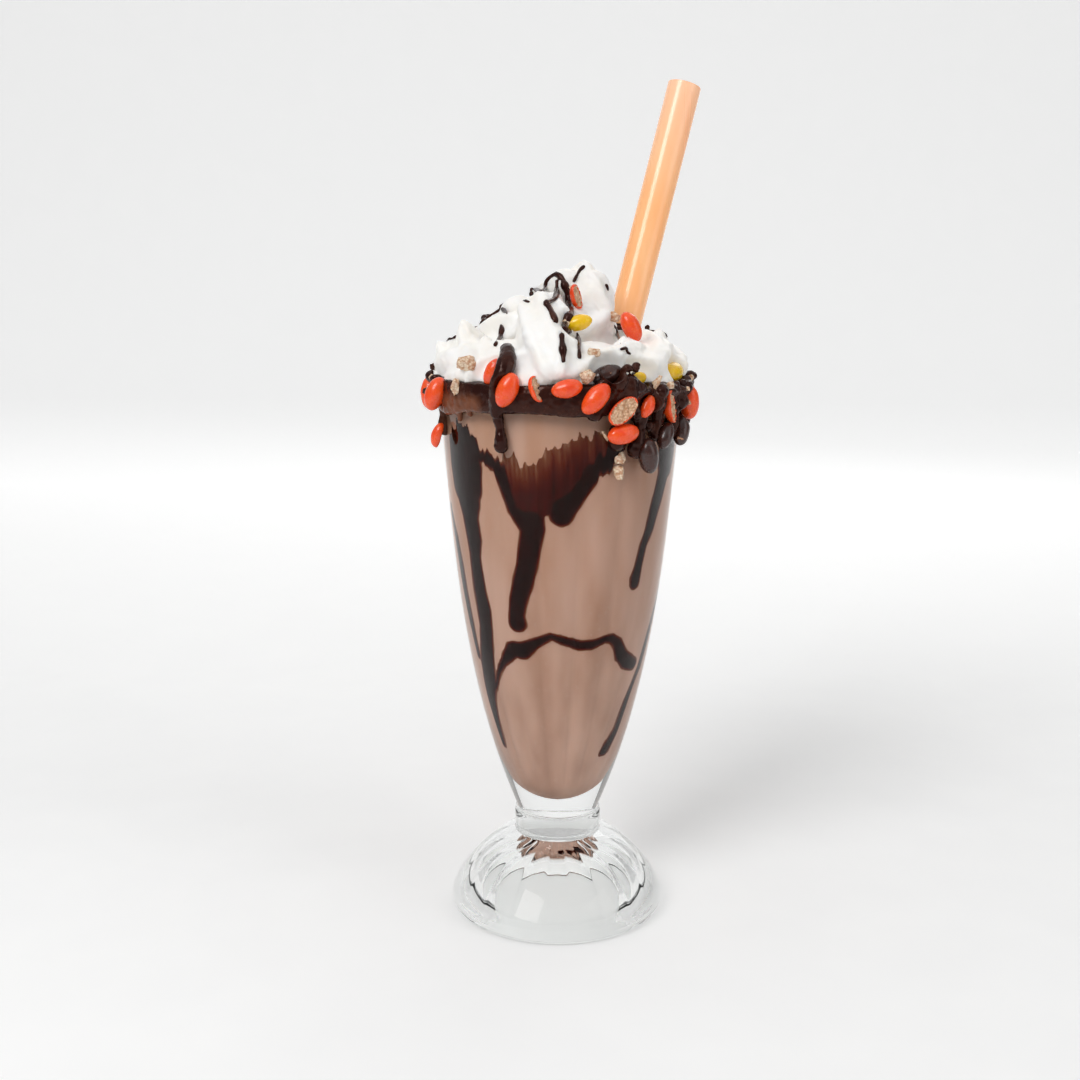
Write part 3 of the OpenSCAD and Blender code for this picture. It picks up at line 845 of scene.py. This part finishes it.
# Drips down the outside: angle, radius, length below the rim
DRIPS = [
    (-28, 2.4, 20), (-70, 2.2, 17), (-62, 1.5, 9), (-52, 1.2, 11), (-44, 1.0, 9), (26, 3, 19), (37, 3.2, 22),
    (48, 3, 17), (63, 3, 16), (80, 2.6, 12), (106, 2.4, 12), (128, 2.6, 17), (152, 2.2, 11), (-177, 2.8, 18),
    (-154, 2.4, 13), (-128, 2.6, 16), (-104, 2.2, 10)]


def round_wall(angle, z, out):
    """A place out from the glass at an angle from the front, in degrees, and a height."""
    a, r = math.radians(angle - 90), float(outer_r(z)) + out
    return (r * math.cos(a), r * math.sin(a), z)


def drip(angle, radius, length):
    """A run of sauce that narrows and then swells to a bead."""
    low = GLASS_H - length + radius
    share = np.linspace(0, 1, 26)
    path = [round_wall(angle + 0.8 * math.sin(5 * s + angle),
                       GLASS_H + 0.5 - (GLASS_H + 0.5 - low) * s, 0.3 * radius)
            for s in share]
    widths = radius * np.interp(share, (0, .3, .68, .88, 1), (1.15, 0.95, 0.62, 1.0, 0.9))
    bead = blob("bead", round_wall(angle + 0.8 * math.sin(5 + angle), low, 0.25 * radius), (radius,) * 3)
    return [tube("drip", path, widths), bead]


def build_coat(look):
    outline = [(39.4, 193.4), (39.2, 195.6), (40.6, 196.9), (42.8, 197.0), (44.6, 196.2), (45.2, 193.8),
               (45.2, 190.4), (44.9, 188.3), (43.8, 187.4), (42.2, 187.6), (42.2, 192.6), (41.0, 193.6),
               (39.4, 193.4)]
    ring = turned("ring", outline, 120)
    p = points(ring)
    a = np.degrees(np.arctan2(p[:, 0], -p[:, 1]))
    low = smooth((191 - p[:, 2]) / 3)
    wave = 1.3 * np.sin(np.radians(a * 5)) + 0.9 * np.sin(np.radians(a * 11 + 40))
    p[:, 2] -= low * (0.6 + wave * np.where(np.abs(a + 5) < 28, 0.25, 1))
    set_points(ring, p)
    lumps = [ring]
    chance = random.Random(11)
    for entry in DRIPS:
        lumps += drip(*entry)
    for k in range(look.lumps):
        angle = chance.uniform(14, 92) if k < 70 else chance.uniform(92, 290)
        z = chance.uniform(181, 197.5) if k < 70 else chance.uniform(186, 197)
        size = chance.uniform(1.4, 3.4) if k < 70 else chance.uniform(1.0, 2.6)
        if 17 < angle < 33 and 183 < z < 195:
            z += 9
        place = round_wall(angle, z, 0.35 * size + (1.6 if z > 188 else 0))
        radii = (size, size * chance.uniform(0.7, 1), size * chance.uniform(0.6, 1))
        amount = chance.uniform(0, 6.28)
        turn = Matrix.Rotation(amount, 3, Vector((chance.random(), chance.random(), 1))).to_euler()
        lumps.append(blob("lump", place, radii, 16, 10, turn))
    spill = eased([(-17.5, -34, 208), (-17, -39, 205), (-18.5, -42, 200), (-20, -41.5, 196.5),
                   (-20.8, -40, 191), (-20.6, -38.9, 186)], 1.2)
    width = np.interp(np.linspace(0, 1, len(spill)), (0, .3, .7, 1), (2.0, 3.4, 2.6, 1.8))
    lumps.append(tube("spill", spill, width))
    piece = remeshed(join("rim_coat", lumps), 0.45, soften=2)
    p = points(piece)
    for node in sorted(frame["nodes"]):
        if "_rim_" in node:
            press(p, (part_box(node)[0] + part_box(node)[1]) / 2 / MM, wide=2.6, rim=1.8)
    p += normals(piece) * (look.coat_ripple / MM * rough(p, 2.6, 5))[:, None]
    r, z = np.hypot(p[:, 0], p[:, 1]), p[:, 2]
    least = np.where(z < 192.8, outer_r(np.minimum(z, GLASS_H)) - 0.12, 0)
    grow = np.maximum(1, least / np.maximum(r, 1))
    p[:, 0] *= grow
    p[:, 1] *= grow
    set_points(piece, p)
    a = np.degrees(np.arctan2(p[:, 0], -p[:, 1]))
    bare = smooth((a + 72) / 8) * smooth((-33 - a) / 6) * smooth((194 - p[:, 2]) / 4)
    kept = piece.data.attributes.new("thin", "FLOAT", "POINT")
    kept.data.foreach_set("value", bare.astype(np.float32))
    finish_piece(piece, [chocolate_finish(look, thin=True)], ["rim_chocolate"])


# ---- sweets

def cut_face(mesh):
    """The direction and the place of the flat face of a halved sweet."""
    best = {}
    for face in mesh.polygons:
        key = tuple(round(c, 2) for c in face.normal)
        area, total = best.get(key, (0.0, Vector()))
        best[key] = (area + face.area, total + face.center * face.area)
    key = max(best, key=lambda k: best[k][0])
    area, total = best[key]
    return np.array(key), np.array(total / area) / MM


def sweet(node, seed):
    """One sweet in its node's place: a slightly uneven shell, with crumbly grain where it is cut."""
    pick(frame["nodes"][node])
    source = frame["nodes"][node].data
    piece = bpy.data.objects.new("sweet", source.copy())
    bpy.context.collection.objects.link(piece)
    pick(piece)
    piece.data.materials.clear()
    bpy.ops.object.mode_set(mode="EDIT")
    bpy.ops.mesh.select_all(action="SELECT")
    bpy.ops.mesh.remove_doubles(threshold=0.003 * MM)
    bpy.ops.object.mode_set(mode="OBJECT")
    remeshed(piece, 0.42, soften=2)
    p = points(piece)
    way = normals(piece)
    if "_half_" in node:
        flat, middle = cut_face(source)
        sink = -(p - middle) @ flat
        across = (p - middle) - np.outer((p - middle) @ flat, flat)
        reach = np.linalg.norm(across, axis=1)
        around = np.percentile(reach[sink < 0.6], 99)
        on_cut = (sink < 0.5) & (way @ flat > 0.75)
        grain = on_cut * smooth((around - 0.6 - reach * 0.9) / 1.0)
        crumbs = 0.55 + 0.5 * rough(p, 1.3, seed) + 0.3 * rough(p, 0.7, seed + 3)
        p -= np.outer(grain * np.clip(crumbs, 0, 1.3), flat)
        inner = grain > 0.25
    else:
        inner = np.zeros(len(p), bool)
    p += way * (0.16 * rough(p, 5, seed + 1) * ~inner)[:, None]
    set_points(piece, p)
    return piece, inner


def build_sweets(look):
    shells = {"orange": shell_finish("orange_shell", look.orange, look.worn, look.orange_deep),
              "yellow": shell_finish("yellow_shell", look.yellow, look.worn, look.yellow_deep),
              "brown": shell_finish("brown_shell", look.brown, look.worn, look.brown_deep)}
    middle = nut_finish("nut_middle", look.nut, look.nut_brown)
    kinds = {}
    for node in sorted(frame["nodes"]):
        colour, _, rest = node.partition("_")
        if colour in shells:
            kinds.setdefault((colour, rest.split("_")[0]), []).append(node)
    for (colour, kind), nodes in kinds.items():
        made = []
        for k, node in enumerate(nodes):
            piece, inner = sweet(node, k * 1.7 + len(colour))
            piece.data.materials.append(shells[colour])
            if kind == "half":
                piece.data.materials.append(middle)
                for face in piece.data.polygons:
                    face.material_index = int(all(inner[v] for v in face.vertices))
            made.append(piece)
        whole = join(f"{colour}_{kind}_sweets", made)
        finish_piece(whole, [], nodes)


# ---- sauce on the cream and scattered bits

# Strands of sauce on the front of the cream: places right and up, and half widths
FRONT_STRANDS = [
    ([(8, 234), (6, 232), (4, 228.5)], 0.7),
    ([(-6, 231), (-3.5, 231.8), (-1, 231.5)], 0.5),
    ([(-9.5, 226), (-6, 225.5), (-4.5, 229), (-2, 231), (0.5, 229.5), (2.5, 225.5), (4, 223.5),
      (2.5, 220.5)], 0.9),
    ([(-1.5, 229), (-1.5, 225.5), (-2.2, 223), (-5, 222), (-3, 219.5), (-1.5, 216)], 1.0),
    ([(0.5, 229), (2, 225), (3, 221.5), (2.5, 217.5), (0.5, 214), (2.5, 213)], 1.5),
    ([(-4.6, 221.5), (-3, 218.5), (-1.8, 216)], 1.2),
    ([(-12.5, 222.5), (-10.5, 222)], 0.7),
    ([(-20, 219.5), (-18, 218)], 0.9),
    ([(-20, 214.5), (-19.6, 211.5), (-21.5, 208)], 1.0),
    ([(0, 212.5), (0.4, 209), (0.8, 204)], 1.2),
    ([(5, 212.5), (5.5, 209), (5.8, 205)], 0.9),
    ([(15, 228), (16, 225.5)], 0.6),
    ([(18, 214.5), (19, 212), (19.5, 209)], 0.6),
    ([(19, 207.5), (21.5, 208), (21, 206.5), (22.5, 206)], 0.6)]


def strand(tree, line, width, seed):
    """A strand of sauce laid on a skin, uneven and thinner at its ends."""
    path, widths = [], []
    places = eased(line, 0.7)
    for k, place in enumerate(places):
        spot, normal = place_on(tree, place)
        if spot is None:
            continue
        share = k / max(1, len(places) - 1)
        swell = 0.55 + 0.45 * math.sin(math.pi * share) ** 0.5 + 0.22 * math.sin(seed * 3 + k * 0.9)
        path.append(np.array(spot) + np.array(normal) * width * 0.2)
        widths.append(width * swell)
    if len(path) < 2:
        return None
    path = [path[0]] + [(a + b + c) / 3 for a, b, c in zip(path, path[1:], path[2:])] + [path[-1]]
    return tube("strand", path, widths)


def place_on(tree, place):
    """Two numbers are right and up from the front; three are an angle, a height and a sign."""
    if len(place) == 2:
        return touch_front(tree, *place)
    return touch_round(tree, place[0], place[1])


def build_sauce(look):
    cream = tree_of(bpy.data.objects["piped_cream"])
    lines = [(list(line), width) for line, width in FRONT_STRANDS]
    chance = random.Random(5)
    for k, angle in enumerate(range(104, 286, 17)):
        top = 226 - 3 * (k % 3)
        line = []
        for s in range(5):
            aside = (6 if s % 2 else -6) + chance.uniform(-2, 2)
            line.append((angle + aside, top - s * chance.uniform(3.2, 4.6), 0))
        lines.append((line, chance.uniform(0.6, 1.1)))
    strands = [strand(cream, line, width, k) for k, (line, width) in enumerate(lines)]
    piece = remeshed(join("sauce_strands", [s for s in strands if s]), 0.34, soften=1)
    finish_piece(piece, [chocolate_finish(look, "sauce", 0.2)])


def chunk(name, place, radii, seed, turn=0.0, ragged=0.28, level=3):
    """A broken bit: a rough lump with a few flattened sides."""
    clear()
    bpy.ops.mesh.primitive_ico_sphere_add(subdivisions=level, radius=MM)
    piece = named(name)
    p = points(piece)
    chance = random.Random(seed)
    for _ in range(7):
        side = np.array([chance.gauss(0, 1) for _ in range(3)])
        side /= np.linalg.norm(side)
        over = np.clip(p @ side - chance.uniform(0.5, 0.85), 0, None)
        p -= np.outer(over * 0.9, side)
    p *= (1 + ragged * rough(p, 0.7, seed * 0.37))[:, None]
    p *= np.array(radii)
    spin = Matrix.Rotation(turn, 3, "Y") @ Matrix.Rotation(chance.uniform(-0.5, 0.5), 3, "X")
    set_points(piece, p @ np.array(spin).T + np.array(place))
    return piece


# Bits on the cream and in the chocolate at the front: right, up, half sizes and turn
NUT_BITS = [
    (17.5, 217.4, (2.1, 1.6, 1.8), 0.3), (18.7, 225.3, (1.3, 1, 1.5), 0.2),
    (10.7, 206.5, (2.4, 1.4, 1.6), 0.1),
    (-30, 201.8, (3.4, 2, 3.0), 0.2), (8, 200, (3.4, 2, 2.4), -0.3), (-34, 194.5, (1.6, 1.4, 2.8), 0.1),
    (31, 196, (1.3, 1.2, 3.4), 0.5), (35, 182, (2.2, 1.6, 1.8), 0.2), (19.3, 172.6, (1.9, 1.5, 2.6), 0.1),
    (19.2, 168, (2.3, 1.6, 2.8), 0), (15, 179.5, (0.8, 0.8, 3.4), -0.7), (22.7, 188, (1.2, 1, 1.2), 0.4),
    (2.8, 226, (1.4, 1.0, 1.6), 0.4), (1.6, 215.6, (1.6, 1.2, 1.3), 0.3)]


def build_bits(look):
    skins = tree_of(*[bpy.data.objects[n] for n in ("piped_cream", "rim_coat", "clear_glass")])
    nuts, dark = [], []
    for k, (x, z, radii, turn) in enumerate(NUT_BITS):
        spot, normal = touch_front(skins, x, z)
        if spot is not None:
            nuts.append(chunk("bit", spot + normal * radii[1] * 0.35, radii, k + 1, turn))
    chance = random.Random(23)
    for k in range(look.bits):
        angle, z = chance.uniform(30, 95) if k < 22 else chance.uniform(95, 285), chance.uniform(180, 197)
        if k >= 22:
            z = chance.uniform(188, 216)
        spot, normal = touch_round(skins, angle, z)
        size = chance.uniform(0.7, 1.7)
        radii = (size, size * 0.8, size * chance.uniform(0.7, 1.3))
        turn, tan = chance.uniform(-1.5, 1.5), chance.random() < 0.5
        if spot is None or (normal.z < -0.3):
            continue
        (nuts if tan else dark).append(chunk("bit", spot + normal * size * 0.3, radii, 40 + k, turn, level=2))
    for name, bits, finish, slot in (
            ("nut_bits", nuts, nut_finish("nut_bit", look.nut_light, look.nut_brown), "sweet_brown"),
            ("chocolate_bits", dark, chocolate_finish(look, "chocolate_bit", 0.24), "chocolate")):
        finish_piece(join(name, bits), [finish], sharp=60)


def build_straw(look):
    """The straw keeps its solid; only its finish is given."""
    straw = frame["nodes"]["straw"]
    straw.data.materials.clear()
    straw.data.materials.append(straw_finish(look))
    pick(straw)
    bpy.ops.object.shade_smooth_by_angle(angle=math.radians(40))
    clear()


# ---- the stage

def lamp(name, place, aim, size, power, colour=(1, 1, 1)):
    clear()
    way = Vector(aim) - Vector(place)
    bpy.ops.object.light_add(type="AREA", location=place, rotation=way.to_track_quat("-Z", "Y").to_euler())
    light = bpy.context.object
    light.name = name
    light.data.shape = "RECTANGLE"
    light.data.size, light.data.size_y = size
    light.data.energy = power
    light.data.color = colour
    light.visible_transmission = False      # the glass passes lamp light by its shadow only


CAMERA_BACK, CAMERA_UP = 0.474, 0.2315      # metres from the axis and above the floor
CAMERA_DOWN, CAMERA_ROLL = 12.085, 0.43     # degrees


def build_stage(look):
    clear()
    bpy.ops.mesh.primitive_plane_add(size=4)
    floor = named("pale_floor")
    bpy.ops.object.mode_set(mode="EDIT")
    bpy.ops.mesh.select_all(action="DESELECT")
    shape = bmesh.from_edit_mesh(floor.data)
    for edge in shape.edges:
        edge.select = all(v.co.y > 1.9 for v in edge.verts)
    bmesh.update_edit_mesh(floor.data)
    bpy.ops.mesh.extrude_edges_move(TRANSFORM_OT_translate={"value": (0, 0, 3)})
    bpy.ops.mesh.select_all(action="DESELECT")
    shape = bmesh.from_edit_mesh(floor.data)
    for edge in shape.edges:
        edge.select = all(v.co.y > 1.9 and v.co.z < 0.1 for v in edge.verts)
    bmesh.update_edit_mesh(floor.data)
    bpy.ops.mesh.bevel(offset=1.2, segments=24)
    bpy.ops.object.mode_set(mode="OBJECT")
    bpy.ops.object.shade_smooth()
    # The floor and its back wall glow: painted light, dim round the glass and brighter towards the back wall.
    p = Paint("pale_floor")
    grain = p.noise(40, 2.0)
    behind = p.node("ShaderNodeSeparateXYZ", {}, {0: p.place()}, out=1)
    p.done(p.shader(base_color=p.mix(grain, (0.86, 0.86, 0.86), (0.9, 0.9, 0.895)), roughness=0.7,
                    specular_ior_level=0.1, emission_strength=1.0,
                    emission_color=p.mix(p.spread(behind, 0.1, 1.0), (0.04, 0.04, 0.04), (0.4, 0.4, 0.4))))
    floor.data.materials.append(p.material)
    world = bpy.data.worlds.new("soft_studio")
    bpy.context.scene.world = world
    world.use_nodes = True
    nodes, links = world.node_tree.nodes, world.node_tree.links
    nodes.clear()
    place = nodes.new("ShaderNodeTexCoord")
    split = nodes.new("ShaderNodeSeparateXYZ")
    ramp = nodes.new("ShaderNodeValToRGB")
    Paint.set_stops(ramp.color_ramp, [
        (0.0, (0.3, 0.3, 0.3)), (0.5, (0.3, 0.31, 0.31)), (0.62, (0.55, 0.55, 0.55)),
        (0.8, (1, 1, 1)), (1.0, (1, 1, 1))])
    background = nodes.new("ShaderNodeBackground")
    background.inputs[1].default_value = look.sky
    out = nodes.new("ShaderNodeOutputWorld")
    links.new(place.outputs["Generated"], split.inputs[0])
    links.new(split.outputs[2], ramp.inputs[0])
    links.new(ramp.outputs[0], background.inputs[0])
    links.new(background.outputs[0], out.inputs[0])
    lamp("key_light", (-0.55, -0.75, 0.85), (0, 0, 0.15), (0.5, 0.5), 6.2)
    lamp("fill_light", (0.8, -0.5, 0.45), (0, 0, 0.14), (0.5, 0.8), 1.5)
    lamp("rim_light", (0.3, 0.9, 0.8), (0, 0, 0.18), (0.7, 0.5), 2.0)
    eye = bpy.data.cameras.new("view")
    camera = bpy.data.objects.new("view", eye)
    bpy.context.collection.objects.link(camera)
    camera.location = (0, -CAMERA_BACK, CAMERA_UP)
    turn = (Matrix.Rotation(math.radians(90 - CAMERA_DOWN), 3, "X")
            @ Matrix.Rotation(math.radians(CAMERA_ROLL), 3, "Z"))
    camera.rotation_euler = turn.to_euler()
    eye.sensor_width, eye.lens = 36, 45.02
    eye.shift_x, eye.shift_y = -0.0179, 0.0205
    eye.clip_start, eye.clip_end = 0.01, 50
    bpy.context.scene.camera = camera
    bpy.context.scene.view_settings.view_transform = "Standard"


# ---- the add-on

def colour_of(name, words, value):
    return bpy.props.FloatVectorProperty(name=name, description=words, subtype="COLOR", size=3,
                                         min=0, max=1, default=tint(*value))


class MilkshakeLook(bpy.types.PropertyGroup):
    """Sizes and colours of the cream, the chocolate, the sweets and the straw."""
    cream_ripple: bpy.props.FloatProperty(
        name="Cream ripple", description="How far the surface of the cream waves in and out",
        default=0.55 * MM, min=0, max=2 * MM, subtype="DISTANCE", unit="LENGTH", precision=5)
    coat_ripple: bpy.props.FloatProperty(
        name="Coat ripple", description="How far the surface of the rim chocolate waves in and out",
        default=0.22 * MM, min=0, max=1 * MM, subtype="DISTANCE", unit="LENGTH", precision=5)
    lumps: bpy.props.IntProperty(
        name="Lumps", description="Chocolate lumps round the rim", default=150, min=0, max=400)
    bits: bpy.props.IntProperty(
        name="Bits", description="Scattered bits besides those at the front", default=70, min=0, max=300)
    shake_top: colour_of("Shake, top", "The drink near the rim", (200, 152, 124))
    shake_light: colour_of("Shake, light", "Paler streaks in the drink", (210, 170, 150))
    shake_low: colour_of("Shake, low", "The drink low in the bowl", (172, 133, 114))
    shake_froth: colour_of("Froth", "Fine froth in the drink", (206, 176, 160))
    cream: colour_of("Cream", "Whipped cream", (252, 250, 247))
    cream_shade: colour_of("Cream, soft", "Softer tone of the cream", (248, 243, 236))
    chocolate: colour_of("Chocolate", "Chocolate sauce on the rim", (38, 12, 9))
    chocolate_light: colour_of("Chocolate, thin", "Chocolate sauce where it is thin", (62, 30, 20))
    chocolate_thin: colour_of("Chocolate, smeared", "Chocolate smeared thin on the glass", (112, 66, 44))
    orange: colour_of("Orange", "Orange sugar shell", (246, 88, 28))
    orange_deep: colour_of("Orange, deep", "Deeper orange of the shell", (238, 66, 18))
    yellow: colour_of("Yellow", "Yellow sugar shell", (245, 200, 12))
    yellow_deep: colour_of("Yellow, deep", "Deeper yellow of the shell", (238, 184, 8))
    brown: colour_of("Brown", "Brown sugar shell", (64, 32, 24))
    brown_deep: colour_of("Brown, deep", "Deeper brown of the shell", (44, 20, 16))
    worn: colour_of("Chipped shell", "Pale layer under a chipped shell", (222, 160, 118))
    nut: colour_of("Nut paste", "Pale grains of the sweet's middle", (242, 206, 172))
    nut_brown: colour_of("Nut paste, brown", "Darker paste between the grains", (186, 134, 96))
    nut_light: colour_of("Nut bits", "Pale broken bits", (240, 222, 196))
    straw: colour_of("Straw", "Peach straw", (255, 206, 150))
    straw_deep: colour_of("Straw, deep", "Deeper peach of the straw", (255, 190, 126))
    straw_pale: colour_of("Straw, top", "Paler, pinker end of the straw", (255, 220, 196))
    sky: bpy.props.FloatProperty(name="Sky", description="Strength of the soft light all round",
                                 default=0.82, min=0, max=3, subtype="FACTOR")


def piece_operator(name, label, words, build):
    """An operator that makes one piece or one group of like pieces."""
    def execute(self, context):
        build(context.scene.milkshake_look)
        return {"FINISHED"}
    kind = "MILKSHAKE_OT_" + name
    return type(kind, (bpy.types.Operator,), {
        "bl_idname": "milkshake." + name, "bl_label": label, "bl_options": {"REGISTER", "UNDO"},
        "__doc__": words, "execute": execute})


OPERATORS = [
    piece_operator("glass", "Glass", "Turn the footed glass and press its flutes", build_glass),
    piece_operator("drink", "Drink", "Fill the bowl with milkshake", build_drink),
    piece_operator("syrup", "Syrup", "Run syrup down the inside of the bowl", build_syrup),
    piece_operator("cream", "Cream", "Pipe the whipped cream", build_cream),
    piece_operator("coat", "Rim chocolate", "Coat the rim with chocolate and its drips", build_coat),
    piece_operator("sweets", "Sweets", "Make the sugar-shelled sweets", build_sweets),
    piece_operator("sauce", "Sauce", "Lay strands of sauce on the cream", build_sauce),
    piece_operator("bits", "Bits", "Scatter broken bits", build_bits),
    piece_operator("straw", "Straw", "Give the straw its finish", build_straw),
    piece_operator("stage", "Stage", "Set the floor, the lights and the camera", build_stage),
]


class MILKSHAKE_PT_panel(bpy.types.Panel):
    """Lists the steps in order."""
    bl_label = "Milkshake"
    bl_idname = "MILKSHAKE_PT_panel"
    bl_space_type = "VIEW_3D"
    bl_region_type = "UI"
    bl_category = "Milkshake"

    def draw(self, context):
        for operator in OPERATORS:
            self.layout.operator(operator.bl_idname)
        for name in MilkshakeLook.__annotations__:
            self.layout.prop(context.scene.milkshake_look, name)


CLASSES = [MilkshakeLook, *OPERATORS, MILKSHAKE_PT_panel]


def register():
    for kind in CLASSES:
        bpy.utils.register_class(kind)
    bpy.types.Scene.milkshake_look = bpy.props.PointerProperty(type=MilkshakeLook)


def unregister():
    del bpy.types.Scene.milkshake_look
    for kind in reversed(CLASSES):
        bpy.utils.unregister_class(kind)


def main():
    register()
    for operator in OPERATORS:
        group, name = operator.bl_idname.split(".")
        getattr(getattr(bpy.ops, group), name)()


if __name__ == "__main__":
    main()
